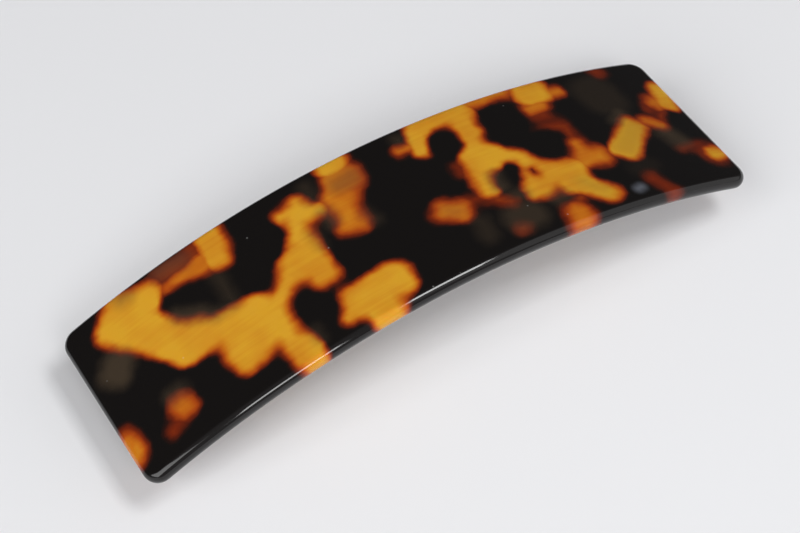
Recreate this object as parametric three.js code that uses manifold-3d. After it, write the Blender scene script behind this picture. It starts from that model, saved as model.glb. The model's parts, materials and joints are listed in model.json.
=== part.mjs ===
// A curved rectangular hair barrette: a polished acetate plate carried on a squeeze-release spring clasp.
// Millimetres. +X runs along the plate from the hinge end to the catch end, +Y across it, and +Z out of
// its crown. The origin is the middle of the footprint, on the surface that the closed clasp stands on.
//
// The plate is a strip bent to one arc. The clasp's bar follows that arc under it. A pin through two ears
// of the bar carries the closing arm, whose far end is a loop that snaps over the hooks of two spring
// leaves. A bowed tension bar, held by its ends under lips of the bar, presses the hair onto the arm.

import * as THREE from "three";
import { mergeVertices } from "three/addons/utils/BufferGeometryUtils.js";
import Module from "manifold-3d";

// ---- Driving dimensions -------------------------------------------------------------------------------

// Acetate plate
const plateLength = 88.9; // along the arc of its top face
const plateWidth = 25.4;
const plateThickness = 2.1;
const plateRadius = 106; // of the arc of its top face
const plateCorner = 2.2; // corner radius, seen from above
const plateTopEdge = 1; // edge rounding on the top face
const plateUnderEdge = 1;
const crownHeight = 16.5; // top of the crown above the table

// Clasp bar
const barLength = 80; // along its arc
const barWidth = 8;
const barThickness = 0.8;
const barEndRadius = 1;
const spareHoleRadius = 0.8;
const spareHoleStations = [-13, 0, 13];

// Hinge
const pinStation = -36.8; // stations are distances along the arc of the plate's underside
const pinDepth = 6; // depths are measured from the plate's underside, towards the clasp
const pinRadius = 0.75;
const pinHeadRadius = 1.2;
const pinHeadHeight = 0.45;
const earThickness = 0.8;
const earRootLength = 5;
const earTipRadius = 2.5;

// Closing arm
const armThickness = 0.7;
const armFlangeThickness = 0.6;
const armFlangeHeight = 1.3; // above the middle of the web
const armWebDrop = 1.35; // from the pin down to the middle of the web
const armBow = 2.5; // rise of the middle of the arm over the line between its ends
const armKnuckleRadius = 1.8;
const armHeel = 0.9; // how far the web reaches behind the pin
const armSlotHalfWidth = 1.05;
const armSlotMargin = 8.5; // from the pin, and from the catch
const armFlangeTaper = 5; // length over which the flanges run out before the loop
const loopRail = 1.5; // width of each side of the loop
const loopNeck = 7.5; // from the catch back to where the arm starts to widen into the loop
const loopEndBar = 2.1;
const loopCorner = 2;
const lipLength = 1.9;
const lipThickness = 0.6;
const lipCorner = 0.9;
const lipTilt = 0.55; // radians

// Catch
const catchStation = 37;
const catchDepth = 4.9; // middle of the arm's rails when closed
const leafThickness = 0.45;
const leafHalfSpacing = 2.65; // middle of each leaf's straight part, from the centre line
const leafHalfLength = 2.2;
const leafRoot = 2.3; // depth at which a leaf leaves its saddle
const leafReach = 7.95; // depth of its tip
const leafTabRadius = 1.1;
const hookDrop = 1.4; // from the middle of the arm's rails down to the hook
const hookOut = 0.78; // how far the hook stands out from the straight part
const waistIn = 0.1;
const tabOut = 1.2;
const saddleThickness = 0.5;
const saddleHalfLength = 2.5;
const saddleBend = 0.6; // outer radius of its bends

// Tension bar
const bowThickness = 0.35;
const bowHalfWidth = 2.1;
const bowEndHalfWidth = 1.7;
const bowEndStation = 28.9;
const bowLipStation = 27.5;
const bowFlatLength = 2.7; // of each end that lies along the bar
const lipPostThickness = 0.6;
const lipPostLength = 1.6;
const lipReach = 1.2; // how far each lip reaches over the tension bar's end

// Rivets
const rivetRadius = 0.8;
const rivetHeadRadius = 1.4;
const rivetHeadHeight = 0.5;
const rivetBite = 1.15; // depth of a plate rivet in the acetate
const plateRivetStations = { hinge_outer: -31.6, hinge_inner: -19, catch_inner: 19, catch_outer: 31.6 };

// Clearances
const seatGap = 0.05; // between faces that touch
const holeGap = 0.08; // round a fixed shank, on the radius
const runGap = 0.1; // round a turning pin, on the radius
const hingeSideGap = 0.3; // between the arm's flanges and the ears
const bowSideGap = 0.25; // between the tension bar and the posts of the lips
const snapGap = 0.2; // between the arm's loop and the leaves
const loopHingeGap = 1.8; // from the leaves to the end of the loop's window that is nearer the hinge
const loopTipGap = 0.9; // and to its other end
const bowGap = 0.15; // above and below each end of the tension bar
const bowArmGap = 0.25; // between the crown of the tension bar and the closed arm

// Resolution
const arcSteps = 21; // odd, so that the crown is the middle of a facet
const roundSteps = 24;
const filletSteps = 3;
const cornerSteps = 5;

// ---- Derived dimensions -------------------------------------------------------------------------------

const undersideRadius = plateRadius - plateThickness;
const arcCentreZ = crownHeight - plateRadius;
const barOuterRadius = undersideRadius - seatGap;
const barInnerRadius = barOuterRadius - barThickness;
const barDepth = seatGap + barThickness; // depth of the bar's lower face
const earMiddle = (barWidth - earThickness) / 2;
const armHalfWidth = barWidth / 2 - earThickness - hingeSideGap;
const loopInner = leafHalfSpacing + leafThickness / 2 + snapGap;
const loopHalfWidth = loopInner + loopRail;
const loopBeyond = leafHalfLength + loopTipGap + loopEndBar; // how far the loop reaches past the catch
const tall = 40; // more than the height of anything that is cut or kept

const wasm = await Module();
wasm.setup();

// ---- Solids -------------------------------------------------------------------------------------------

function solidOf(geometry) {
  const bare = geometry.clone();
  bare.deleteAttribute("normal");
  bare.deleteAttribute("uv");
  const merged = mergeVertices(bare, 1e-4);
  return new wasm.Manifold(
    new wasm.Mesh({
      numProp: 3,
      vertProperties: new Float32Array(merged.attributes.position.array),
      triVerts: new Uint32Array(merged.index.array),
    }),
  );
}

function geometryOf(solid) {
  const mesh = solid.getMesh();
  const geometry = new THREE.BufferGeometry();
  geometry.setAttribute("position", new THREE.BufferAttribute(new Float32Array(mesh.vertProperties), 3));
  geometry.setIndex(new THREE.BufferAttribute(new Uint32Array(mesh.triVerts), 1));
  const faceted = geometry.toNonIndexed();
  faceted.computeVertexNormals();
  return faceted;
}

const join = (first, ...others) => geometryOf(others.reduce((a, b) => a.add(solidOf(b)), solidOf(first)));
const cut = (first, ...others) =>
  geometryOf(others.reduce((a, b) => a.subtract(solidOf(b)), solidOf(first)));
const common = (first, second) => geometryOf(solidOf(first).intersect(solidOf(second)));

// A shape drawn in X and Z, as thick as width across Y, with its middle at y.
function across(shape, width, y = 0, curveSegments = roundSteps) {
  const geometry = new THREE.ExtrudeGeometry(shape, { depth: width, bevelEnabled: false, curveSegments });
  return geometry.rotateX(Math.PI / 2).translate(0, y + width / 2, 0);
}

// A shape drawn in X and Y, raised along Z through everything.
function upright(shape) {
  const geometry = new THREE.ExtrudeGeometry(shape, { depth: tall, bevelEnabled: false, curveSegments: 8 });
  return geometry.translate(0, 0, -tall / 2);
}

// A shape drawn in Y and Z, as long as length along X, with its middle at the origin.
function along(shape, length) {
  const geometry = new THREE.ExtrudeGeometry(shape, { depth: length, bevelEnabled: false, curveSegments: 4 });
  return geometry.rotateX(Math.PI / 2).rotateZ(Math.PI / 2).translate(-length / 2, 0, 0);
}

// A band between two radii round (0, 0), from one angle to another, measured from +Z towards +X.
function arcBand(inner, outer, from, to) {
  const shape = new THREE.Shape();
  shape.absarc(0, 0, outer, Math.PI / 2 - from, Math.PI / 2 - to, true);
  shape.absarc(0, 0, inner, Math.PI / 2 - to, Math.PI / 2 - from, false);
  return shape;
}

// A round disc or hole whose axis is Y.
const discAcross = (radius, length) => new THREE.CylinderGeometry(radius, radius, length, roundSteps);
// The same, with its axis along Z.
const discUpright = (radius, length) => discAcross(radius, length).rotateX(Math.PI / 2);

// A strip of even thickness along a line of points, as a closed outline.
function ribbon(points, thickness) {
  const sides = points.map((point, i) => {
    const before = points[Math.max(i - 1, 0)];
    const after = points[Math.min(i + 1, points.length - 1)];
    const direction = after.clone().sub(before).normalize();
    const normal = new THREE.Vector2(-direction.y, direction.x).multiplyScalar(thickness / 2);
    return [point.clone().add(normal), point.clone().sub(normal)];
  });
  return new THREE.Shape([...sides.map((side) => side[0]), ...sides.map((side) => side[1]).reverse()]);
}

function roundedRectangle(x0, x1, halfWidth, radius) {
  const shape = new THREE.Shape();
  shape.absarc(x1 - radius, halfWidth - radius, radius, 0, Math.PI / 2, false);
  shape.absarc(x0 + radius, halfWidth - radius, radius, Math.PI / 2, Math.PI, false);
  shape.absarc(x0 + radius, radius - halfWidth, radius, Math.PI, 1.5 * Math.PI, false);
  shape.absarc(x1 - radius, radius - halfWidth, radius, 1.5 * Math.PI, 2 * Math.PI, false);
  return shape;
}

// ---- Places on the arc --------------------------------------------------------------------------------

const angleAt = (station) => station / undersideRadius;

// The frame on the plate's underside at a station: X along the arc, Z out of the crown.
function frameAt(station) {
  const turn = new THREE.Matrix4().makeRotationY(angleAt(station));
  const centre = new THREE.Matrix4().makeTranslation(0, 0, arcCentreZ);
  return centre.multiply(turn).multiply(new THREE.Matrix4().makeTranslation(0, 0, undersideRadius));
}

// A group that stands in that frame, so that what is in it is drawn with Z = -depth.
function stationGroup(station) {
  const group = new THREE.Group();
  group.applyMatrix4(frameAt(station));
  return group;
}

const pointAt = (station, depth) => new THREE.Vector3(0, 0, -depth).applyMatrix4(frameAt(station));

// Everything below the table, in the frame of a station.
function tableBlock(station) {
  const block = new THREE.BoxGeometry(tall, tall, tall).translate(0, 0, -tall / 2);
  const middle = pointAt(station, 0);
  return block.translate(middle.x, 0, 0).applyMatrix4(frameAt(station).invert());
}

// ---- Materials ----------------------------------------------------------------------------------------

const acetate = new THREE.MeshStandardMaterial({ color: 0x2a1508, roughness: 0.12, metalness: 0 });
const nickel = new THREE.MeshStandardMaterial({ color: 0xc9c6be, roughness: 0.28, metalness: 1 });
const springSteel = new THREE.MeshStandardMaterial({ color: 0xaeb2b6, roughness: 0.35, metalness: 1 });
const rivetSteel = new THREE.MeshStandardMaterial({ color: 0xd6d3ca, roughness: 0.22, metalness: 1 });

const barrette = new THREE.Group();

function addPiece(name, geometry, material, parent = barrette) {
  const mesh = new THREE.Mesh(geometry, material);
  mesh.name = name;
  parent.add(mesh);
  return mesh;
}

// ---- Acetate plate ------------------------------------------------------------------------------------

// Half of the plate's outline, at y < 0, drawn from the hinge end to the catch end and pulled in by inset.
function plateFront(inset) {
  const middleX = plateLength / 2 - plateCorner;
  const middleY = plateWidth / 2 - plateCorner;
  const radius = plateCorner - inset;
  const points = [];
  for (let i = 0; i <= cornerSteps; i++) {
    const angle = Math.PI + (i / cornerSteps) * (Math.PI / 2);
    points.push([-middleX + radius * Math.cos(angle), -middleY + radius * Math.sin(angle)]);
  }
  for (let i = 1; i < arcSteps; i++) {
    points.push([-middleX + (2 * middleX * i) / arcSteps, -middleY - radius]);
  }
  for (let i = 0; i <= cornerSteps; i++) {
    const angle = 1.5 * Math.PI + (i / cornerSteps) * (Math.PI / 2);
    points.push([middleX + radius * Math.cos(angle), -middleY + radius * Math.sin(angle)]);
  }
  return points;
}

// The edge's section, from the top face down to the underside: how far in, and how high.
function plateEdge() {
  const section = [];
  for (let i = 0; i <= filletSteps; i++) {
    const angle = (i / filletSteps) * (Math.PI / 2);
    section.push([plateTopEdge * (1 - Math.sin(angle)), -plateTopEdge * (1 - Math.cos(angle))]);
  }
  for (let i = 0; i <= filletSteps; i++) {
    const angle = (i / filletSteps) * (Math.PI / 2);
    section.push([
      plateUnderEdge * (1 - Math.cos(angle)),
      -plateThickness + plateUnderEdge * (1 - Math.sin(angle)),
    ]);
  }
  return section;
}

// A flat point of the plate, bent onto its arc.
function bent(along, y, z) {
  const angle = along / plateRadius;
  const radius = plateRadius + z;
  return [radius * Math.sin(angle), y, radius * Math.cos(angle) + arcCentreZ];
}

function plateBlank() {
  const rings = plateEdge().map(([inset, z]) => {
    const front = plateFront(inset);
    const back = front.map(([x, y]) => [x, -y]).reverse();
    return [...front, ...back].map(([x, y]) => bent(x, y, z));
  });
  const count = rings[0].length;
  const positions = rings.flat(2);
  const faces = [];
  for (let ring = 0; ring + 1 < rings.length; ring++) {
    for (let i = 0; i < count; i++) {
      const next = (i + 1) % count;
      const [a, b] = [ring * count + i, ring * count + next];
      const [c, d] = [a + count, b + count];
      faces.push(a, c, b, b, c, d);
    }
  }
  const last = (rings.length - 1) * count;
  for (let i = 0; i + 1 < count / 2; i++) {
    const [a, b, c, d] = [i, i + 1, count - 2 - i, count - 1 - i];
    faces.push(a, b, c, a, c, d);
    faces.push(last + a, last + c, last + b, last + a, last + d, last + c);
  }
  const geometry = new THREE.BufferGeometry();
  geometry.setAttribute("position", new THREE.Float32BufferAttribute(positions, 3));
  geometry.setIndex(faces);
  return geometry;
}

function acetatePlate() {
  const holeLength = 2 * (rivetBite + seatGap);
  const holes = Object.values(plateRivetStations).map((station) =>
    discUpright(rivetRadius + holeGap, holeLength).applyMatrix4(frameAt(station)),
  );
  return cut(plateBlank(), ...holes);
}

// ---- Clasp bar, with its hinge ears and its lips for the tension bar ------------------------------------

function barStrip() {
  const half = barLength / 2 / undersideRadius;
  const band = across(arcBand(barInnerRadius, barOuterRadius, -half, half), barWidth, 0, arcSteps);
  const reach = barOuterRadius * Math.sin(half);
  const outline = upright(roundedRectangle(-reach, reach, barWidth / 2, barEndRadius));
  return common(band.translate(0, 0, arcCentreZ), outline);
}

// One ear, drawn in the frame of the pin's station.
function ear(side) {
  const shape = new THREE.Shape();
  const top = -seatGap - barThickness / 2;
  shape.moveTo(-earRootLength / 2, top);
  shape.lineTo(-earTipRadius, -pinDepth);
  shape.absarc(0, -pinDepth, earTipRadius, Math.PI, 2 * Math.PI, false);
  shape.lineTo(earRootLength / 2, top);
  const bore = discAcross(pinRadius + holeGap, 4 * earThickness).translate(0, side * earMiddle, -pinDepth);
  const plate = across(shape, earThickness, side * earMiddle);
  return cut(plate, bore, tableBlock(pinStation)).applyMatrix4(frameAt(pinStation));
}

// One of the bent-over lips that hold an end of the tension bar, drawn in the frame of its station.
function bowLip(station, side) {
  const top = -seatGap - barThickness / 2;
  const under = -barDepth - bowThickness - 2 * bowGap;
  const bottom = under - lipPostThickness;
  const inner = bowEndHalfWidth + bowSideGap;
  const outline = new THREE.Shape([
    new THREE.Vector2(side * inner, top),
    new THREE.Vector2(side * inner, under),
    new THREE.Vector2(side * (inner - lipReach), under),
    new THREE.Vector2(side * (inner - lipReach), bottom),
    new THREE.Vector2(side * (inner + lipPostThickness), bottom),
    new THREE.Vector2(side * (inner + lipPostThickness), top),
  ]);
  return along(outline, lipPostLength).applyMatrix4(frameAt(station));
}

function claspBar() {
  const lips = [-bowLipStation, bowLipStation].flatMap((s) => [bowLip(s, -1), bowLip(s, 1)]);
  const whole = join(barStrip(), ear(-1), ear(1), ...lips);
  const holeAt = (radius) => (station) =>
    discUpright(radius, 4 * barThickness)
      .translate(0, 0, -barDepth / 2)
      .applyMatrix4(frameAt(station));
  const rivets = [...Object.values(plateRivetStations), catchStation].map(holeAt(rivetRadius + holeGap));
  return cut(whole, ...rivets, ...spareHoleStations.map(holeAt(spareHoleRadius)));
}

// ---- Pin and rivets -----------------------------------------------------------------------------------

// A shank with a low domed head at each end that is asked for, turned round Y.
function headedShank(radius, headRadius, headHeight, bottom, top, headOnTop) {
  const rim = headHeight * 0.55;
  const crown = headRadius * 0.7;
  const profile = [
    [0, bottom - headHeight],
    [crown, bottom - headHeight],
    [headRadius, bottom - rim],
    [headRadius, bottom],
    [radius, bottom],
    [radius, top],
  ];
  if (headOnTop) {
    profile.push([headRadius, top], [headRadius, top + rim]);
    profile.push([crown, top + headHeight], [0, top + headHeight]);
  } else {
    profile.push([0, top]);
  }
  return new THREE.LatheGeometry(
    profile.map(([x, y]) => new THREE.Vector2(x, y)),
    roundSteps,
  );
}

function hingePin() {
  const reach = barWidth / 2 + seatGap;
  return headedShank(pinRadius, pinHeadRadius, pinHeadHeight, -reach, reach, true);
}

const plateRivet = () =>
  headedShank(rivetRadius, rivetHeadRadius, rivetHeadHeight, -barDepth - seatGap, rivetBite, false).rotateX(
    Math.PI / 2,
  );

function catchRivet() {
  const under = -barDepth - saddleThickness - 2 * seatGap;
  return headedShank(rivetRadius, rivetHeadRadius, rivetHeadHeight, under, -2 * seatGap, false).rotateX(
    Math.PI / 2,
  );
}

// ---- Closing arm --------------------------------------------------------------------------------------

const pinCentre = pointAt(pinStation, pinDepth);
const catchCentre = pointAt(catchStation, catchDepth);
const armSpan = pinCentre.distanceTo(catchCentre);
const armLength = Math.sqrt(armSpan ** 2 - armWebDrop ** 2); // from the pin to the catch, along the arm
const armSlope =
  Math.atan2(catchCentre.z - pinCentre.z, catchCentre.x - pinCentre.x) + Math.atan2(armWebDrop, armLength);
const armRadius = ((armLength / 2) ** 2 + armBow ** 2) / (2 * armBow);
const armCentre = { x: armLength / 2, z: armBow - armWebDrop - armRadius };

// A band along the arm's arc, between two heights over the middle of its web.
function armBand(low, high, width, y = 0) {
  const from = -Math.asin((armLength / 2 + armHeel + 1) / armRadius);
  const to = Math.asin((armLength / 2 + loopBeyond + 1) / armRadius);
  const band = arcBand(armRadius + low, armRadius + high, from, to);
  return across(band, width, y, arcSteps).translate(armCentre.x, 0, armCentre.z);
}

// The arm seen from above: a strip that widens into a loop, with a long slot and the loop's window.
function armOutline() {
  const end = armLength + loopBeyond;
  const neck = armLength - loopNeck;
  const windowStart = armLength - leafHalfLength - loopHingeGap;
  const windowEnd = armLength + leafHalfLength + loopTipGap;
  const outline = new THREE.Shape();
  outline.moveTo(-armHeel, -armHalfWidth);
  outline.lineTo(neck, -armHalfWidth);
  outline.bezierCurveTo(neck + 2, -armHalfWidth, neck + 1.5, -loopHalfWidth, neck + 3.5, -loopHalfWidth);
  outline.absarc(end - loopCorner, loopCorner - loopHalfWidth, loopCorner, -Math.PI / 2, 0, false);
  outline.absarc(end - loopCorner, loopHalfWidth - loopCorner, loopCorner, 0, Math.PI / 2, false);
  outline.lineTo(neck + 3.5, loopHalfWidth);
  outline.bezierCurveTo(neck + 1.5, loopHalfWidth, neck + 2, armHalfWidth, neck, armHalfWidth);
  outline.lineTo(-armHeel, armHalfWidth);
  outline.holes.push(
    roundedRectangle(armSlotMargin, armLength - armSlotMargin, armSlotHalfWidth, armSlotHalfWidth - 0.01),
    roundedRectangle(windowStart, windowEnd, loopInner, 0.8),
  );
  return outline;
}

// The height of the middle of the web over the pin, at a distance along the arm.
const webHeight = (x) => armCentre.z + Math.sqrt(armRadius ** 2 - (x - armCentre.x) ** 2);

function armFlange(side) {
  const y = side * (armHalfWidth - armFlangeThickness / 2);
  const rail = armBand(0, armFlangeHeight, armFlangeThickness, y);
  const end = armLength - loopNeck;
  const taperStart = end - armFlangeTaper;
  const kept = new THREE.Shape([
    new THREE.Vector2(-0.5, -tall / 2),
    new THREE.Vector2(end, -tall / 2),
    new THREE.Vector2(end, webHeight(end) + 0.2),
    new THREE.Vector2(taperStart, webHeight(taperStart) + armFlangeHeight + 0.05),
    new THREE.Vector2(taperStart, tall / 2),
    new THREE.Vector2(-0.5, tall / 2),
  ]);
  const knuckle = discAcross(armKnuckleRadius, armFlangeThickness).translate(0, y, 0);
  return join(common(rail, across(kept, 2 * barWidth)), knuckle);
}

// The turned-down lip past the loop, for a fingernail.
function armLip() {
  const overlap = 0.8;
  const start = armLength + loopBeyond - overlap;
  const outline = roundedRectangle(0, lipLength + overlap, armHalfWidth, lipCorner);
  const options = { depth: lipThickness, bevelEnabled: false, curveSegments: 6 };
  return new THREE.ExtrudeGeometry(outline, options)
    .translate(0, 0, -lipThickness / 2)
    .rotateY(lipTilt)
    .translate(start, 0, webHeight(start));
}

function closingArm() {
  const web = common(armBand(-armThickness / 2, armThickness / 2, barWidth + 4), upright(armOutline()));
  const bore = discAcross(pinRadius + runGap, 2 * barWidth);
  return cut(join(web, armFlange(-1), armFlange(1), armLip()), bore);
}

// ---- Catch --------------------------------------------------------------------------------------------

// The saddle's section: a web on the bar with its two edges turned down to meet the leaves.
function catchSaddle() {
  const outer = leafHalfSpacing + leafThickness / 2;
  const top = -barDepth - seatGap;
  const bottom = -leafRoot + 0.1;
  const inner = outer - saddleThickness;
  const web = top - saddleThickness;
  const section = new THREE.Shape();
  section.moveTo(outer, bottom);
  section.absarc(outer - saddleBend, top - saddleBend, saddleBend, 0, Math.PI / 2, false);
  section.absarc(saddleBend - outer, top - saddleBend, saddleBend, Math.PI / 2, Math.PI, false);
  section.lineTo(-outer, bottom);
  section.lineTo(-inner, bottom);
  section.lineTo(-inner, web);
  section.lineTo(inner, web);
  section.lineTo(inner, bottom);
  const hole = discUpright(rivetRadius + holeGap, 4 * barThickness).translate(0, 0, -barDepth);
  return cut(along(section, 2 * saddleHalfLength), hole);
}

// One leaf: straight past the arm's rail, out over it as a hook, in to a waist and out again as a thumb tab.
function catchLeaf(side) {
  const hookDepth = catchDepth + hookDrop;
  const tabDepth = leafReach - hookDepth;
  const line = new THREE.SplineCurve(
    [
      [0, leafRoot],
      [0, (leafRoot + hookDepth) / 2],
      [0.02, hookDepth - 0.42],
      [hookOut, hookDepth],
      [-waistIn, hookDepth + 0.5 * tabDepth],
      [tabOut, leafReach],
    ].map(([out, depth]) => new THREE.Vector2(side * (leafHalfSpacing + out), -depth)),
  );
  const strip = along(ribbon(line.getPoints(20), leafThickness), 2 * leafHalfLength);
  const face = new THREE.Shape();
  const corner = leafHalfLength - leafTabRadius;
  face.moveTo(-leafHalfLength, 0);
  face.lineTo(-leafHalfLength, leafTabRadius - leafReach);
  face.absarc(-corner, leafTabRadius - leafReach, leafTabRadius, Math.PI, 1.5 * Math.PI, false);
  face.absarc(corner, leafTabRadius - leafReach, leafTabRadius, 1.5 * Math.PI, 2 * Math.PI, false);
  face.lineTo(leafHalfLength, 0);
  return cut(common(strip, across(face, 2 * barWidth, 0, 5)), tableBlock(catchStation));
}

// ---- Tension bar --------------------------------------------------------------------------------------

// Half of its line: flat under the lips, then an even sweep down to the middle of the closed arm.
function bowLine() {
  const endDepth = barDepth + bowGap + bowThickness / 2;
  const armTop = new THREE.Vector3(armLength / 2, 0, armBow - armWebDrop + armThickness / 2);
  armTop.applyAxisAngle(new THREE.Vector3(0, 1, 0), -armSlope).add(pinCentre);
  const low = armTop.z + bowArmGap + bowThickness / 2;
  const tip = pointAt(bowEndStation, endDepth);
  const turn = pointAt(bowEndStation - bowFlatLength, endDepth);
  const slope = -Math.tan(angleAt(bowEndStation - bowFlatLength));
  const half = [];
  const steps = 16;
  for (let i = 0; i <= steps; i++) {
    const t = i / steps;
    const eased = t * t * (3 - 2 * t);
    const lead = t * t * (t - 1) * slope * turn.x;
    half.push(new THREE.Vector2(t * turn.x, low + (turn.z - low) * eased + lead));
  }
  half.push(new THREE.Vector2(tip.x, tip.z));
  const mirrored = half.slice(1).map((point) => new THREE.Vector2(-point.x, point.y));
  return [...mirrored.reverse(), ...half];
}

function tensionBar() {
  const line = bowLine();
  const tip = line[line.length - 1].x;
  const outline = new THREE.Shape();
  outline.moveTo(-tip - 1, -bowEndHalfWidth);
  outline.quadraticCurveTo(-tip / 2, -bowHalfWidth, 0, -bowHalfWidth);
  outline.quadraticCurveTo(tip / 2, -bowHalfWidth, tip + 1, -bowEndHalfWidth);
  outline.lineTo(tip + 1, bowEndHalfWidth);
  outline.quadraticCurveTo(tip / 2, bowHalfWidth, 0, bowHalfWidth);
  outline.quadraticCurveTo(-tip / 2, bowHalfWidth, -tip - 1, bowEndHalfWidth);
  return common(across(ribbon(line, bowThickness), barWidth), upright(outline));
}

// ---- Assembly -----------------------------------------------------------------------------------------

addPiece("acetate_plate", acetatePlate(), acetate);
addPiece("clasp_bar", claspBar(), nickel);
addPiece("tension_bar", tensionBar(), springSteel);

for (const [place, station] of Object.entries(plateRivetStations)) {
  const group = stationGroup(station);
  addPiece("plate_rivet_" + place, plateRivet(), rivetSteel, group);
  barrette.add(group);
}

const hingeGroup = stationGroup(pinStation);
addPiece("hinge_pin", hingePin(), rivetSteel, hingeGroup).position.set(0, 0, -pinDepth);
barrette.add(hingeGroup);

const catchGroup = stationGroup(catchStation);
addPiece("catch_saddle", catchSaddle(), springSteel, catchGroup);
addPiece("catch_leaf_front", catchLeaf(-1), springSteel, catchGroup);
addPiece("catch_leaf_back", catchLeaf(1), springSteel, catchGroup);
addPiece("catch_rivet", catchRivet(), rivetSteel, catchGroup);
barrette.add(catchGroup);

const armGroup = new THREE.Group();
armGroup.position.copy(pinCentre);
armGroup.rotation.y = -armSlope;
addPiece("closing_arm", closingArm(), nickel, armGroup);
barrette.add(armGroup);

export default barrette;
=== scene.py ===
"""A tortoiseshell barrette on a pale table, in plain soft studio light.

The clasp's metal pieces are the CAD solids with their edges rounded. The acetate plate is built anew,
with round edges, from the same sizes. Lengths named *_MM are in millimetres; everything else is in metres.
"""

import json
from math import cos, pi, radians, sin

import bmesh
import bpy
from mathutils import Matrix, Vector


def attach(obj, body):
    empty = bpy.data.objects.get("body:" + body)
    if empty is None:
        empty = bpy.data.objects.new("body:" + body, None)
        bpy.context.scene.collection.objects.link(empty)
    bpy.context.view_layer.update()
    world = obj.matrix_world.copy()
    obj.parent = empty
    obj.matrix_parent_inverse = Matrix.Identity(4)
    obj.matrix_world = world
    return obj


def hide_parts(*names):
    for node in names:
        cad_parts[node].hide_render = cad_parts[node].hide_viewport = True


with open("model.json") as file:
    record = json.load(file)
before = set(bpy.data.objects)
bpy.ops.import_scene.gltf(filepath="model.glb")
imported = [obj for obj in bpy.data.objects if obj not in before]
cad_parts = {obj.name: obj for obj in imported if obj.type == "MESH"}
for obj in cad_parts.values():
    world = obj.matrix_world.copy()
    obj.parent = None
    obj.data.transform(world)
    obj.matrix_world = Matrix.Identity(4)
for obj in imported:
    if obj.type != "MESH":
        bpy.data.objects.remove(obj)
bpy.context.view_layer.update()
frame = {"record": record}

MM = 0.001

# The plate, as in the CAD.
LENGTH_MM = 88.9
WIDTH_MM = 25.4
THICKNESS_MM = 2.1
RADIUS_MM = 106.0
CORNER_MM = 2.2
TOP_EDGE_MM = 1.0
UNDER_EDGE_MM = 1.0
CROWN_MM = 16.5
ARC_CENTRE_MM = CROWN_MM - RADIUS_MM

# How finely the plate's round edges are cut, and how far in from them its flat faces carry two more rings.
TOP_EDGE_STEPS = 8
UNDER_EDGE_STEPS = 6
OUTER_RING_MM = 0.25
INNER_RING_MM = 0.9

# The clasp's meshes: corners this close are one, and edges this blunt or blunter are flat or smooth.
WELD_MM = 0.004
FLAT_DEGREES = 1.0
SMOOTH_DEGREES = 32

TABLE_RADIUS = 2.5
CAMERA_PLACE = (-0.07624, -0.14442, 0.20432)

TO_MM = (1000.0, 1000.0, 1000.0)


# ---- Node helpers -------------------------------------------------------------------------------------


class Nodes:
    """Adds nodes to a tree and links them: an argument is a socket to link, or a value to set."""

    def __init__(self, tree):
        self.tree = tree

    def add(self, kind, inputs=None, **settings):
        node = self.tree.nodes.new(kind)
        for name, value in settings.items():
            setattr(node, name, value)
        for name, value in (inputs or {}).items():
            self.put(node.inputs[name], value)
        return node

    def put(self, socket, value):
        if isinstance(value, bpy.types.NodeSocket):
            self.tree.links.new(value, socket)
        else:
            socket.default_value = value

    def math(self, operation, *values, clamp=False):
        node = self.add("ShaderNodeMath", operation=operation, use_clamp=clamp)
        for socket, value in zip(node.inputs, values):
            self.put(socket, value)
        return node.outputs[0]

    def vector(self, operation, *values):
        node = self.add("ShaderNodeVectorMath", operation=operation)
        for socket, value in zip(node.inputs, values):
            self.put(socket, value)
        return node.outputs["Value" if operation == "LENGTH" else "Vector"]

    def noise(self, vector, scale, detail=2.0, roughness=0.5, colour=False):
        inputs = {"Vector": vector, "Scale": scale, "Detail": detail, "Roughness": roughness}
        node = self.add("ShaderNodeTexNoise", inputs)
        return node.outputs["Color" if colour else "Fac"]

    def span(self, value, low, high, to_low=0.0, to_high=1.0):
        inputs = {"Value": value, "From Min": low, "From Max": high, "To Min": to_low, "To Max": to_high}
        return self.add("ShaderNodeMapRange", inputs).outputs["Result"]

    def ramp(self, value, stops):
        node = self.add("ShaderNodeValToRGB", {"Fac": value})
        elements = node.color_ramp.elements
        while len(elements) < len(stops):
            elements.new(0.5)
        for element, (position, colour) in zip(elements, stops):
            element.position = position
            element.color = (*colour, 1.0)
        return node.outputs["Color"]

    def mix(self, factor, first, second):
        node = self.add("ShaderNodeMix", data_type="RGBA")
        self.put(node.inputs["Factor"], factor)
        for name, value in (("A", first), ("B", second)):
            socket = next(s for s in node.inputs if s.name == name and s.type == "RGBA")
            self.put(socket, (*value, 1.0) if isinstance(value, tuple) else value)
        return next(s for s in node.outputs if s.type == "RGBA")


def new_material(name):
    material = bpy.data.materials.new(name)
    material.use_nodes = True
    material.node_tree.nodes.clear()
    return material, Nodes(material.node_tree)


def finish_material(material, nodes, shader):
    output = nodes.add("ShaderNodeOutputMaterial")
    nodes.put(output.inputs["Surface"], shader)
    return material


# ---- Tortoiseshell ------------------------------------------------------------------------------------

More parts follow.
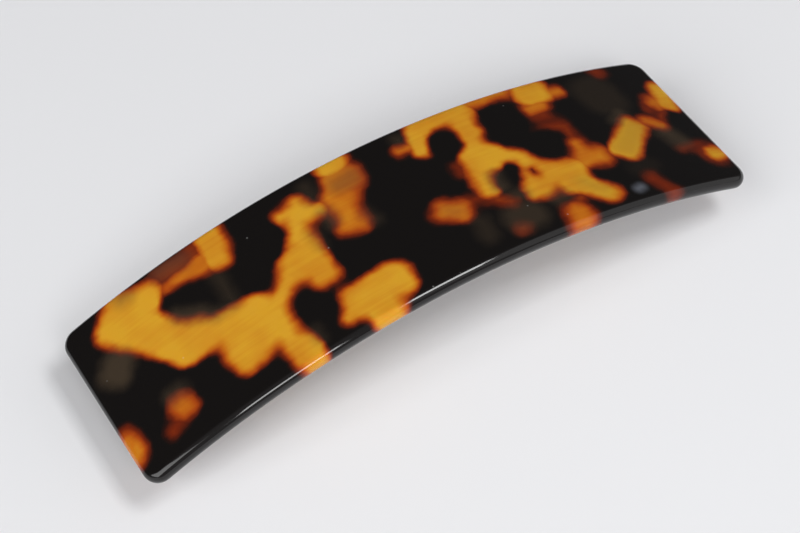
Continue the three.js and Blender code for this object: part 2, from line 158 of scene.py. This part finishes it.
# Each patch: x and y of its middle on the flattened plate, half length, half width (mm), angle (degrees),
# and how square its corners are (0 to 1).
GOLDEN_PATCHES = [
    # The broad band at the hinge end
    (-37.6, 8.6, 2.5, 2.2, 35, 0.2),
    (-36.1, 11.4, 1.0, 1.8, -8, 0.3),
    (-33.6, 9.4, 3.2, 2.1, -18, 0.4),
    (-34.8, 5.2, 4.2, 2.7, -50, 0.3),
    (-31.8, 1.2, 3.4, 2.4, -38, 0.3),
    (-30.8, -0.5, 3.2, 1.9, 0, 0.4),
    (-26.8, -0.9, 2.6, 1.4, -5, 0.3),
    (-24.1, -3.3, 4.0, 3.5, 0, 0.4),
    (-21.2, -4.6, 1.7, 2.6, 0, 0.3),
    (-26.5, -6.3, 1.8, 2.3, 12, 0.5),
    (-24.4, -5.7, 2.0, 1.9, 8, 0.5),
    (-21.2, -8.0, 1.1, 1.6, 0, 0.2),
    (-20.5, -10.4, 1.8, 2.2, 0, 0.1),
    (-20.4, -12.4, 1.1, 2.0, 0, 0.3),
    # The neck and star that rise from it
    (-18.4, -1.4, 2.6, 1.0, 40, 0.3),
    (-14.5, 0.8, 2.7, 2.3, 25, 0.4),
    (-13.4, -1.9, 1.7, 2.1, 0, 0.5),
    (-13.0, 2.8, 1.2, 1.8, 0, 0.4),
    (-12.6, 5.2, 1.6, 0.8, 62, 0.3),
    (-12.2, 8.1, 1.9, 0.8, -8, 0.3),
    (-10.8, 8.6, 0.7, 1.3, -8, 0.3),
    (-11.2, 6.9, 1.5, 1.3, 0, 0.3),
    (-9.6, 6.3, 1.5, 0.8, -18, 0.3),
    # Along the back edge, at the hinge end
    (-22.3, 9.9, 1.6, 3.3, -8, 0.5),
    (-4.2, 11.7, 2.0, 1.5, 0, 0.5),
    # The patch that runs over the front edge
    (-9.7, -8.3, 4.1, 2.2, 0, 0.6),
    (-6.6, -8.8, 1.8, 2.3, -4, 0.7),
    (-10.0, -11.2, 2.0, 3.0, 0, 0.5),
    (-13.5, -9.6, 1.1, 0.7, 15, 0.5),
    # The large network in the catch half
    (11.4, 12.0, 4.2, 2.3, 0, 0.4),
    (6.8, 9.1, 1.0, 2.7, -18, 0.2),
    (13.5, 8.4, 1.8, 2.6, -4, 0.3),
    (12.6, 5.2, 1.2, 1.8, 0, 0.3),
    (12.3, 2.4, 2.8, 2.1, -5, 0.3),
    (15.4, 1.3, 1.9, 1.1, -38, 0.3),
    (10.2, -1.2, 1.2, 2.6, -8, 0.4),
    (17.2, -1.2, 1.2, 2.2, 32, 0.3),
    (19.0, -3.9, 4.3, 1.8, -3, 0.4),
    (15.6, -5.2, 1.9, 1.4, -10, 0.3),
    (22.0, -7.9, 3.2, 1.4, -50, 0.6),
    (20.0, -6.2, 1.6, 1.6, 0, 0.3),
    # Along the back edge, at the catch end
    (24.9, 10.7, 2.6, 2.3, 0, 0.5),
    # The slanting bar and the patches on the catch end's edge
    (32.1, -1.7, 4.2, 1.7, 42, 0.8),
    (42.8, 4.6, 2.8, 1.5, 66, 0.5),
    (42.5, -7.4, 1.4, 1.2, 10, 0.3),
]

ORANGE_PATCHES = [
    (-27.2, 8.3, 3.2, 1.0, 3, 0.3),
    (-24.3, 8.5, 1.2, 1.3, 0, 0.3),
    (-4.3, 8.6, 2.4, 2.3, 0, 0.4),
    (-5.9, 6.4, 2.0, 1.9, 20, 0.3),
    (-6.4, 3.2, 1.5, 2.6, -8, 0.4),
    (-6.7, 1.5, 1.5, 0.6, -12, 0.5),
    (-35.9, -6.8, 1.4, 1.4, 4, 0.5),
    (-44.1, -6.9, 1.7, 2.4, 0, 0.2),
    (4.5, -3.2, 2.1, 1.5, -33, 0.7),
    (5.0, 8.8, 1.5, 0.5, -5, 0.2),
    (18.6, 12.4, 3.6, 1.4, 0, 0.4),
    (28.0, 9.5, 1.2, 0.8, -10, 0.3),
    (23.6, 7.9, 1.8, 1.1, 15, 0.3),
    (25.0, -3.2, 2.6, 1.5, -4, 0.4),
    (24.5, -0.9, 0.9, 1.7, 0, 0.3),
    (37.4, 0.1, 1.6, 0.8, -35, 0.4),
    (40.5, 3.6, 1.4, 1.2, 40, 0.3),
    (17.6, -11.5, 1.6, 2.2, -14, 0.3),
]

RED_PATCHES = [
    (-37.9, -8.5, 1.0, 0.6, 20, 0.3),
    (-28.0, 10.6, 2.6, 1.3, 0, 0.3),
    (-24.6, 10.9, 1.0, 1.4, 0, 0.3),
    (7.4, -3.1, 1.6, 0.5, -5, 0.3),
    (10.4, -4.6, 1.8, 0.6, -38, 0.3),
    (8.7, 2.2, 0.6, 1.1, 0, 0.2),
    (10.3, -9.8, 0.8, 0.8, 0, 0.2),
    (22.3, 3.9, 2.8, 0.6, -5, 0.3),
    (25.0, 2.2, 0.7, 1.9, -4, 0.3),
    (23.3, 6.0, 1.4, 0.8, 0, 0.2),
    (18.9, -9.2, 1.3, 0.7, 35, 0.3),
    (36.1, 11.9, 1.0, 1.4, 15, 0.3),
    (38.9, 3.1, 1.2, 0.7, 45, 0.2),
    (39.6, 1.1, 1.3, 0.4, 52, 0.3),
    (39.8, -5.4, 1.9, 0.4, 6, 0.3),
    (42.1, -7.3, 2.0, 1.9, 0, 0.2),
    (30.9, -10.8, 0.9, 2.5, 26, 0.3),
]

# Black patches that lie over the clear ones.
DARK_PATCHES = [
    (9.6, 7.0, 1.9, 2.3, 0, 0.1),
    (18.3, 6.6, 2.9, 3.8, -8, 0.1),
    (21.0, 1.4, 2.7, 2.6, -20, 0.1),
    (14.0, -1.3, 1.2, 2.1, -35, 0.1),
    (16.8, -2.3, 0.4, 0.6, 0, 0.1),
    (-28.2, 5.2, 3.5, 1.8, -25, 0.2),
]

# Patches of smoke, which are brown over the black and dull the amber. A seventh number says how thick.
SMOKY_PATCHES = [
    (-40.1, 3.3, 2.4, 2.1, 48, 0.4, 0.9),
    (-34.7, 11.4, 1.3, 1.1, 0, 0.1, 0.5),
    (-27.9, 11.2, 2.7, 1.4, -8, 0.2, 0.6),
    (-28.6, 2.6, 3.2, 0.8, -38, 0.1, 0.8),
    (-25.4, 0.9, 1.6, 0.7, -8, 0.1, 0.6),
    (-24.0, 3.6, 0.6, 2.6, 0, 0.1, 0.45),
    (-18.4, -9.6, 0.7, 1.3, 0, 0.1, 0.5),
    (-35.8, -4.9, 1.5, 0.9, 0, 0.1, 0.6),
    (-11.5, 2.4, 0.6, 1.6, 5, 0.1, 0.5),
    (-8.6, 4.3, 0.9, 1.6, 0, 0.2, 0.7),
    (-8.8, 9.2, 0.8, 2.0, 0, 0.1, 0.4),
    (-4.2, 8.3, 2.2, 1.5, 0, 0.2, 0.5),
    (-4.4, 1.6, 0.8, 1.4, 15, 0.2, 0.45),
    (4.9, 10.6, 0.9, 1.0, 0, 0.1, 0.5),
    (4.5, -3.1, 1.4, 1.0, -33, 0.3, 0.3),
    (6.2, -7.6, 1.1, 2.2, -8, 0.1, 0.35),
    (11.8, -1.8, 0.9, 1.8, -8, 0.1, 0.75),
    (11.6, -8.2, 2.8, 2.4, 10, 0.1, 0.6),
    (12.9, -4.9, 1.2, 0.9, -20, 0.1, 0.6),
    (17.2, -7.6, 1.4, 1.0, 10, 0.1, 0.6),
    (22.2, -7.7, 2.2, 1.0, -50, 0.3, 0.25),
    (33.4, 2.5, 1.8, 1.0, 42, 0.2, 0.75),
    (32.4, -1.6, 4.0, 1.6, 42, 0.5, 0.25),
    (33.5, 7.0, 3.4, 4.0, 10, 0.0, 0.3),
    (38.4, -3.2, 1.4, 2.4, 22, 0.2, 0.75),
    (30.5, -7.0, 2.2, 1.6, 0, 0.0, 0.15),
]

# A soft pale spot on the top face near the front edge: a painted highlight.
HIGHLIGHT_SPOT = (27.5, -10.2, 0.8, 0.5, 15, 0.0)

# How near to each other patches of one table run together, and how far each reaches beyond its numbers.
MERGE_MM = 2.0
GOLDEN_GROWN_MM = 0.25
ORANGE_GROWN_MM = 0.35
RED_GROWN_MM = 0.45

# The width of the patches' borders, which varies over the plate. Orange and red ones are softer.
SHARPEST_MM = 1.6
SOFTEST_MM = 2.9
SOFTER = 1.3
SMOKE_BORDER_MM = 2.6
HIGHLIGHT_SPOT_BORDER_MM = 1.6

# How far the borders wander, in broad waves and in small ones.
WANDER_MM = (1.3, 1.3, 0.0)
RIPPLE_MM = (0.4, 0.4, 0.0)

# How clear the orange and red patches are, where golden is 1, and how softly the three meet.
ORANGE_CLEARNESS = 0.72
RED_CLEARNESS = 0.38
CLEARNESS_BLEND = 0.1

SMOKE_COLOUR = (0.052, 0.036, 0.022)
DUST_COLOUR = (0.5, 0.5, 0.48)
# The colour of the painted highlight spot.
HIGHLIGHT_SPOT_COLOUR = (0.15, 0.16, 0.19)


def patch_group():
    """A node group: how far a point of the flattened plate is from one patch's edge, negative inside it."""
    group = bpy.data.node_groups.new("patch", "ShaderNodeTree")
    for name, kind in (
        ("Point", "NodeSocketVector"),
        ("Middle", "NodeSocketVector"),
        ("Angle", "NodeSocketFloat"),
        ("Core", "NodeSocketVector"),
        ("Round", "NodeSocketFloat"),
    ):
        group.interface.new_socket(name, in_out="INPUT", socket_type=kind)
    group.interface.new_socket("Distance", in_out="OUTPUT", socket_type="NodeSocketFloat")
    nodes = Nodes(group)
    given = nodes.add("NodeGroupInput").outputs
    local = nodes.vector("SUBTRACT", given["Point"], given["Middle"])
    inputs = {"Vector": local, "Angle": given["Angle"]}
    turned = nodes.add("ShaderNodeVectorRotate", inputs, rotation_type="Z_AXIS", invert=True).outputs[0]
    beyond = nodes.vector("SUBTRACT", nodes.vector("ABSOLUTE", turned), given["Core"])
    outside = nodes.vector("LENGTH", nodes.vector("MAXIMUM", beyond, (0.0, 0.0, 0.0)))
    output = nodes.add("NodeGroupOutput")
    nodes.put(output.inputs["Distance"], nodes.math("SUBTRACT", outside, given["Round"]))
    return group


PATCH = patch_group()


def patch_distance(nodes, point, patch):
    x, y, half_length, half_width, angle, square = patch[:6]
    round_off = (1.0 - 0.5 * square) * min(half_length, half_width)
    node = nodes.add("ShaderNodeGroup", node_tree=PATCH)
    nodes.put(node.inputs["Point"], point)
    node.inputs["Middle"].default_value = (x, y, 0.0)
    node.inputs["Angle"].default_value = radians(angle)
    node.inputs["Core"].default_value = (half_length - round_off, half_width - round_off, 100.0)
    node.inputs["Round"].default_value = round_off
    return node.outputs["Distance"]


def faded(nodes, distance, softness):
    """From 1 inside to 0 outside, over a border as wide as softness."""
    inside = nodes.math("SUBTRACT", 0.5, nodes.math("DIVIDE", distance, softness), clamp=True)
    smooth = nodes.add("ShaderNodeMapRange", {"Value": inside}, interpolation_type="SMOOTHSTEP")
    return smooth.outputs["Result"]


def merged_patches(nodes, point, table, softness, grown=0.0):
    """All of a table's patches, run together where they meet."""
    nearest = patch_distance(nodes, point, table[0])
    for patch in table[1:]:
        nearest = nodes.math("SMOOTH_MIN", nearest, patch_distance(nodes, point, patch), MERGE_MM)
    return faded(nodes, nodes.math("SUBTRACT", nearest, grown), softness)


def smoke(nodes, point, softness):
    """How thick the smoke is: as thick as the thickest of its patches."""
    total = 0.0
    for patch in SMOKY_PATCHES:
        thickness = patch[6]
        inside = faded(nodes, patch_distance(nodes, point, patch), softness)
        total = nodes.math("MAXIMUM", total, nodes.math("MULTIPLY", inside, thickness))
    return total


def flattened(nodes):
    """The plate's own point in millimetres: x along its arc, y across it, and depth from its top face."""
    place = nodes.add("ShaderNodeTexCoord").outputs["Object"]
    split = nodes.add("ShaderNodeSeparateXYZ", {"Vector": nodes.vector("MULTIPLY", place, TO_MM)})
    x, y, z = split.outputs
    up = nodes.math("SUBTRACT", z, ARC_CENTRE_MM)
    along = nodes.math("MULTIPLY", nodes.math("ARCTAN2", x, up), RADIUS_MM)
    spoke = nodes.add("ShaderNodeCombineXYZ", {"X": x, "Z": up}).outputs[0]
    depth = nodes.math("SUBTRACT", RADIUS_MM, nodes.vector("LENGTH", spoke))
    return nodes.add("ShaderNodeCombineXYZ", {"X": along, "Y": y, "Z": depth}).outputs[0]


def tortoiseshell():
    material, nodes = new_material("tortoiseshell_acetate")
    point = flattened(nodes)

    # The borders wander, and are sharper in some places than in others.
    wander = nodes.vector("SUBTRACT", nodes.noise(point, 0.24, 2.0, 0.5, colour=True), (0.5, 0.5, 0.5))
    ripple = nodes.vector("SUBTRACT", nodes.noise(point, 0.8, 1.5, 0.5, colour=True), (0.5, 0.5, 0.5))
    moved = nodes.vector("ADD", point, nodes.vector("MULTIPLY", wander, WANDER_MM))
    moved = nodes.vector("ADD", moved, nodes.vector("MULTIPLY", ripple, RIPPLE_MM))
    softness = nodes.span(nodes.noise(point, 0.16, 1.0, 0.5), 0.35, 0.65, SHARPEST_MM, SOFTEST_MM)

    golden = merged_patches(nodes, moved, GOLDEN_PATCHES, softness, GOLDEN_GROWN_MM)
    softer = nodes.math("MULTIPLY", softness, SOFTER)
    orange = merged_patches(nodes, moved, ORANGE_PATCHES, softer, ORANGE_GROWN_MM)
    red = merged_patches(nodes, moved, RED_PATCHES, softer, RED_GROWN_MM)
    dark = merged_patches(nodes, moved, DARK_PATCHES, softness)
    haze = smoke(nodes, moved, SMOKE_BORDER_MM)
    orange = nodes.math("MULTIPLY", orange, ORANGE_CLEARNESS)
    red = nodes.math("MULTIPLY", red, RED_CLEARNESS)
    clear = nodes.math("SMOOTH_MAX", orange, red, CLEARNESS_BLEND)
    clear = nodes.math("SMOOTH_MAX", golden, clear, CLEARNESS_BLEND)
    clear = nodes.math("MULTIPLY", clear, nodes.math("SUBTRACT", 1.0, dark), clamp=True)

    # Fine streaks run along the sheet that the plate was cut from, in a slow drift of tone.
    streak_place = nodes.vector("MULTIPLY", point, (0.06, 1.3, 1.0))
    streaks = nodes.span(nodes.noise(streak_place, 1.0, 3.0, 0.6), 0.3, 0.7, -0.05, 0.05)
    cloud = nodes.span(nodes.noise(point, 0.11, 2.0, 0.5), 0.35, 0.65, -0.16, 0.06)
    tone = nodes.math("MULTIPLY", clear, nodes.math("ADD", nodes.math("ADD", streaks, cloud), 1.0))

    colour = nodes.ramp(
        tone,
        [
            (0.06, (0.0050, 0.0040, 0.0036)),
            (0.14, (0.020, 0.0050, 0.0032)),
            (0.32, (0.15, 0.016, 0.0030)),
            (0.5, (0.38, 0.060, 0.0045)),
            (0.7, (0.54, 0.165, 0.0080)),
            (1.0, (0.66, 0.350, 0.0220)),
        ],
    )
    colour = nodes.mix(nodes.math("MULTIPLY", haze, 0.9), colour, SMOKE_COLOUR)

    # Light spreads through the clear parts, and less so through smoke.
    bare = nodes.span(tone, 0.3, 0.9)
    soft = nodes.math("MULTIPLY", bare, nodes.math("SUBTRACT", 1.0, nodes.math("MULTIPLY", haze, 0.7)))

    # A polish with faint hairlines, a speck of dust here and there, and one soft pale spot that is a painted
    # highlight.
    hairlines = nodes.noise(nodes.vector("MULTIPLY", point, (0.8, 14.0, 1.0)), 1.0, 2.0, 0.6)
    specks = nodes.add("ShaderNodeTexVoronoi", {"Vector": point, "Scale": 0.55}, feature="F1").outputs
    pick = nodes.add("ShaderNodeSeparateColor", {"Color": specks["Color"]}).outputs[0]
    rare = nodes.math("GREATER_THAN", pick, 0.93)
    dust = nodes.math("MULTIPLY", nodes.span(specks["Distance"], 0.09, 0.03), rare)
    colour = nodes.mix(nodes.math("MULTIPLY", dust, 0.2), colour, DUST_COLOUR)
    # The soft pale highlight spot is painted into the plate's colour.
    highlight_spot = faded(nodes, patch_distance(nodes, point, HIGHLIGHT_SPOT), HIGHLIGHT_SPOT_BORDER_MM)
    colour = nodes.mix(nodes.math("MULTIPLY", highlight_spot, 0.7), colour, HIGHLIGHT_SPOT_COLOUR)
    polish = nodes.span(hairlines, 0.35, 0.75, 0.05, 0.10)
    roughness = nodes.math("ADD", polish, nodes.math("MULTIPLY", dust, 0.4))

    bump = nodes.add("ShaderNodeBump", {"Strength": 0.1, "Distance": 0.0002})
    nodes.put(bump.inputs["Height"], nodes.noise(point, 0.35, 1.0, 0.4))

    inputs = {"IOR": 1.49, "Base Color": colour, "Roughness": roughness}
    shader = nodes.add("ShaderNodeBsdfPrincipled", inputs)
    nodes.put(shader.inputs["Normal"], bump.outputs["Normal"])
    nodes.put(shader.inputs["Subsurface Weight"], nodes.math("MULTIPLY", soft, 0.7))
    shader.inputs["Subsurface Radius"].default_value = (1.0, 0.45, 0.12)
    shader.inputs["Subsurface Scale"].default_value = 0.0009
    return finish_material(material, nodes, shader.outputs[0])


# ---- Metals -------------------------------------------------------------------------------------------


def metal(name, colour, darker, rough, grain, grain_direction):
    """A plain metal: cloudy colour, grain along the strip it was cut from, and paler worn patches."""
    material, nodes = new_material(name)
    place = nodes.vector("MULTIPLY", nodes.add("ShaderNodeTexCoord").outputs["Object"], TO_MM)
    cloud = nodes.span(nodes.noise(place, 0.35, 3.0, 0.55), 0.35, 0.65)
    lines = nodes.noise(nodes.vector("MULTIPLY", place, grain_direction), 1.0, 3.0, 0.6)
    shade = nodes.math("ADD", nodes.math("MULTIPLY", cloud, 0.7), nodes.span(lines, 0.3, 0.7, 0.0, 0.3))
    base = nodes.mix(shade, darker, colour)
    uneven = nodes.math("ADD", lines, nodes.math("MULTIPLY", cloud, 0.4))
    roughness = nodes.span(uneven, 0.4, 1.0, rough - 0.07, rough + 0.08)
    bump = nodes.add("ShaderNodeBump", {"Strength": grain, "Distance": 0.00003, "Height": lines})
    inputs = {"Base Color": base, "Roughness": roughness, "Metallic": 1.0}
    shader = nodes.add("ShaderNodeBsdfPrincipled", inputs)
    nodes.put(shader.inputs["Normal"], bump.outputs["Normal"])
    return finish_material(material, nodes, shader.outputs[0])


# ---- Plate --------------------------------------------------------------------------------------------


def plate_outline(inset, arc_steps=120, corner_steps=10):
    """The flattened plate's outline, pulled in, in millimetres: its front half, then its back half."""
    middle_x = LENGTH_MM / 2 - CORNER_MM
    middle_y = WIDTH_MM / 2 - CORNER_MM
    radius = CORNER_MM - inset
    front = []
    for step in range(corner_steps + 1):
        angle = pi + step / corner_steps * pi / 2
        front.append((-middle_x + radius * cos(angle), -middle_y + radius * sin(angle)))
    for step in range(1, arc_steps):
        front.append((-middle_x + 2 * middle_x * step / arc_steps, -middle_y - radius))
    for step in range(corner_steps + 1):
        angle = 1.5 * pi + step / corner_steps * pi / 2
        front.append((middle_x + radius * cos(angle), -middle_y + radius * sin(angle)))
    return front + [(x, -y) for x, y in reversed(front)]


def plate_section():
    """The edge's section from top to underside: how far in, and how high, in millimetres."""
    section = [(TOP_EDGE_MM + INNER_RING_MM, 0.0), (TOP_EDGE_MM + OUTER_RING_MM, 0.0)]
    for step in range(TOP_EDGE_STEPS + 1):
        angle = step / TOP_EDGE_STEPS * pi / 2
        section.append((TOP_EDGE_MM * (1 - sin(angle)), -TOP_EDGE_MM * (1 - cos(angle))))
    section.append((0.0, -THICKNESS_MM / 2))
    for step in range(UNDER_EDGE_STEPS + 1):
        angle = step / UNDER_EDGE_STEPS * pi / 2
        section.append((UNDER_EDGE_MM * (1 - cos(angle)), UNDER_EDGE_MM * (1 - sin(angle)) - THICKNESS_MM))
    section.append((UNDER_EDGE_MM + OUTER_RING_MM, -THICKNESS_MM))
    section.append((UNDER_EDGE_MM + INNER_RING_MM, -THICKNESS_MM))
    return section


def build_plate():
    mesh = bmesh.new()
    rings = []
    for inset, height in plate_section():
        ring = []
        for x, y in plate_outline(inset):
            angle = x / RADIUS_MM
            radius = RADIUS_MM + height
            place = (radius * sin(angle), y, radius * cos(angle) + ARC_CENTRE_MM)
            ring.append(mesh.verts.new(Vector(place) * MM))
        rings.append(ring)
    count = len(rings[0])
    for upper, lower in zip(rings, rings[1:]):
        for i in range(count):
            j = (i + 1) % count
            mesh.faces.new((upper[i], lower[i], lower[j], upper[j]))
    for ring, flip in ((rings[0], False), (rings[-1], True)):
        for i in range(count // 2 - 1):
            face = (ring[i], ring[i + 1], ring[count - 2 - i], ring[count - 1 - i])
            mesh.faces.new(tuple(reversed(face)) if flip else face)
    bmesh.ops.recalc_face_normals(mesh, faces=mesh.faces)
    for face in mesh.faces:
        face.smooth = True
    data = bpy.data.meshes.new("plate")
    mesh.to_mesh(data)
    mesh.free()
    plate = bpy.data.objects.new("plate", data)
    bpy.context.scene.collection.objects.link(plate)
    plate.data.materials.append(tortoiseshell())
    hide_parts("acetate_plate")
    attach(plate, "plate")


# ---- Clasp --------------------------------------------------------------------------------------------


def rounded_copy(node, body, material, edge_mm):
    """A copy of a CAD solid with its edges rounded, which stands for it."""
    source = bpy.data.objects[node]
    mesh = bmesh.new()
    mesh.from_mesh(source.data)
    bmesh.ops.remove_doubles(mesh, verts=mesh.verts, dist=WELD_MM * MM)
    bmesh.ops.dissolve_degenerate(mesh, dist=WELD_MM * MM, edges=mesh.edges)
    bmesh.ops.dissolve_limit(mesh, angle_limit=radians(FLAT_DEGREES), verts=mesh.verts, edges=mesh.edges)
    for face in mesh.faces:
        face.smooth = True
    for edge in mesh.edges:
        edge.smooth = edge.is_manifold and edge.calc_face_angle(0.0) < radians(SMOOTH_DEGREES)
    data = bpy.data.meshes.new(node + "_fine")
    mesh.to_mesh(data)
    mesh.free()
    piece = bpy.data.objects.new(node + "_fine", data)
    bpy.context.scene.collection.objects.link(piece)
    piece.matrix_world = source.matrix_world.copy()
    bevel = piece.modifiers.new("rounded_edges", "BEVEL")
    bevel.width = edge_mm * MM
    bevel.segments = 2
    bevel.limit_method = "ANGLE"
    bevel.angle_limit = radians(SMOOTH_DEGREES)
    bevel.harden_normals = True
    bevel.use_clamp_overlap = True
    piece.data.materials.append(material)
    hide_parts(node)
    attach(piece, body)


def build_clasp():
    nickel = metal("nickel_plate", (0.80, 0.78, 0.74), (0.66, 0.64, 0.60), 0.24, 0.15, (0.15, 4.0, 4.0))
    spring = metal("spring_steel", (0.66, 0.68, 0.71), (0.50, 0.52, 0.56), 0.30, 0.25, (0.2, 6.0, 6.0))
    bright = metal("rivet_steel", (0.84, 0.83, 0.80), (0.70, 0.69, 0.66), 0.18, 0.08, (2.0, 2.0, 2.0))
    bodies = {node: body for body, nodes in frame["record"]["behaviour"]["bodies"].items() for node in nodes}
    finishes = {"nickel_plate": (nickel, 0.12), "spring_steel": (spring, 0.07), "rivet_steel": (bright, 0.08)}
    for part in frame["record"]["subparts"]:
        node, slot = part["node"], part["material_slot"]
        if slot in finishes:
            material, edge_mm = finishes[slot]
            rounded_copy(node, bodies[node], material, edge_mm)


# ---- Room ---------------------------------------------------------------------------------------------


def add_floor():
    mesh = bmesh.new()
    bmesh.ops.create_circle(mesh, cap_ends=True, segments=96, radius=TABLE_RADIUS)
    data = bpy.data.meshes.new("table")
    mesh.to_mesh(data)
    mesh.free()
    table = bpy.data.objects.new("table", data)
    bpy.context.scene.collection.objects.link(table)
    material, nodes = new_material("pale_table")
    place = nodes.add("ShaderNodeTexCoord").outputs["Object"]
    cloud = nodes.noise(place, 6.0, 2.0, 0.5)
    colour = nodes.ramp(cloud, [(0.3, (0.80, 0.805, 0.82)), (0.7, (0.82, 0.825, 0.84))])
    shader = nodes.add("ShaderNodeBsdfPrincipled", {"Base Color": colour, "Roughness": 0.55})
    shader.inputs["Specular IOR Level"].default_value = 0.3

    # From below, the table is clear, and the clasp is seen through it.
    seen = nodes.add("ShaderNodeLightPath").outputs["Is Camera Ray"]
    below = nodes.add("ShaderNodeNewGeometry").outputs["Backfacing"]
    both = nodes.add("ShaderNodeMixShader", {"Fac": nodes.math("MULTIPLY", seen, below)})
    nodes.put(both.inputs[1], shader.outputs[0])
    nodes.put(both.inputs[2], nodes.add("ShaderNodeBsdfTransparent").outputs[0])
    data.materials.append(finish_material(material, nodes, both.outputs[0]))


def add_panel(name, direction, distance, size, watts):
    """A rectangular soft light that faces the barrette from a direction, with its first side level."""
    lamp = bpy.data.lights.new(name, "AREA")
    lamp.shape = "RECTANGLE"
    lamp.size, lamp.size_y = size
    lamp.energy = watts
    panel = bpy.data.objects.new(name, lamp)
    bpy.context.scene.collection.objects.link(panel)
    outward = Vector(direction).normalized()
    side = Vector((0.0, 1.0, 0.0)).cross(outward).normalized()
    turned = Matrix((side, outward.cross(side), outward)).transposed().to_4x4()
    panel.matrix_world = Matrix.Translation(outward * distance) @ turned


def add_lights():
    add_panel("main_panel", (0.272, -0.344, 0.898), 1.0, (0.24, 0.34), 3.4)
    add_panel("second_panel", (-0.13, -0.752, 0.632), 1.0, (0.27, 0.30), 2.3)
    add_panel("left_fill", (-1.0, -0.4, 0.75), 1.2, (0.9, 1.0), 9.0)
    add_panel("right_fill", (1.0, -0.7, 0.8), 1.2, (1.3, 1.3), 2.6)


def add_world():
    """A dim room, a little paler on the camera's side, with a background that the camera sees as pale."""
    world = bpy.data.worlds.new("studio")
    world.use_nodes = True
    world.node_tree.nodes.clear()
    nodes = Nodes(world.node_tree)
    direction = nodes.add("ShaderNodeTexCoord").outputs["Generated"]
    beyond = nodes.add("ShaderNodeSeparateXYZ", {"Vector": direction}).outputs["Y"]
    colour = nodes.ramp(
        nodes.span(beyond, -1.0, 1.0),
        [
            (0.0, (0.30, 0.296, 0.306)),
            (0.45, (0.26, 0.256, 0.266)),
            (0.65, (0.08, 0.079, 0.082)),
            (1.0, (0.05, 0.049, 0.051)),
        ],
    )
    seen = nodes.add("ShaderNodeLightPath").outputs["Is Camera Ray"]
    colour = nodes.mix(seen, colour, (0.80, 0.80, 0.81))
    background = nodes.add("ShaderNodeBackground", {"Color": colour, "Strength": 1.0})
    output = nodes.add("ShaderNodeOutputWorld")
    nodes.put(output.inputs["Surface"], background.outputs[0])
    bpy.context.scene.world = world


def add_camera():
    """Looks down across the plate from its hinge end, with the frame turned a little."""
    azimuth, elevation, roll = radians(27.28), radians(50.58), radians(-4.77)
    data = bpy.data.cameras.new("camera")
    data.sensor_width = 36.0
    data.lens = 92.26
    data.clip_start = 0.01
    camera = bpy.data.objects.new("camera", data)
    bpy.context.scene.collection.objects.link(camera)
    turn = Matrix.Rotation(-azimuth, 4, "Z") @ Matrix.Rotation(pi / 2 - elevation, 4, "X")
    place = Matrix.Translation(CAMERA_PLACE)
    camera.matrix_world = place @ turn @ Matrix.Rotation(roll, 4, "Z")
    bpy.context.scene.camera = camera


add_camera()
build_plate()
build_clasp()
add_floor()
add_lights()
add_world()
bpy.context.scene.view_settings.view_transform = "Standard"
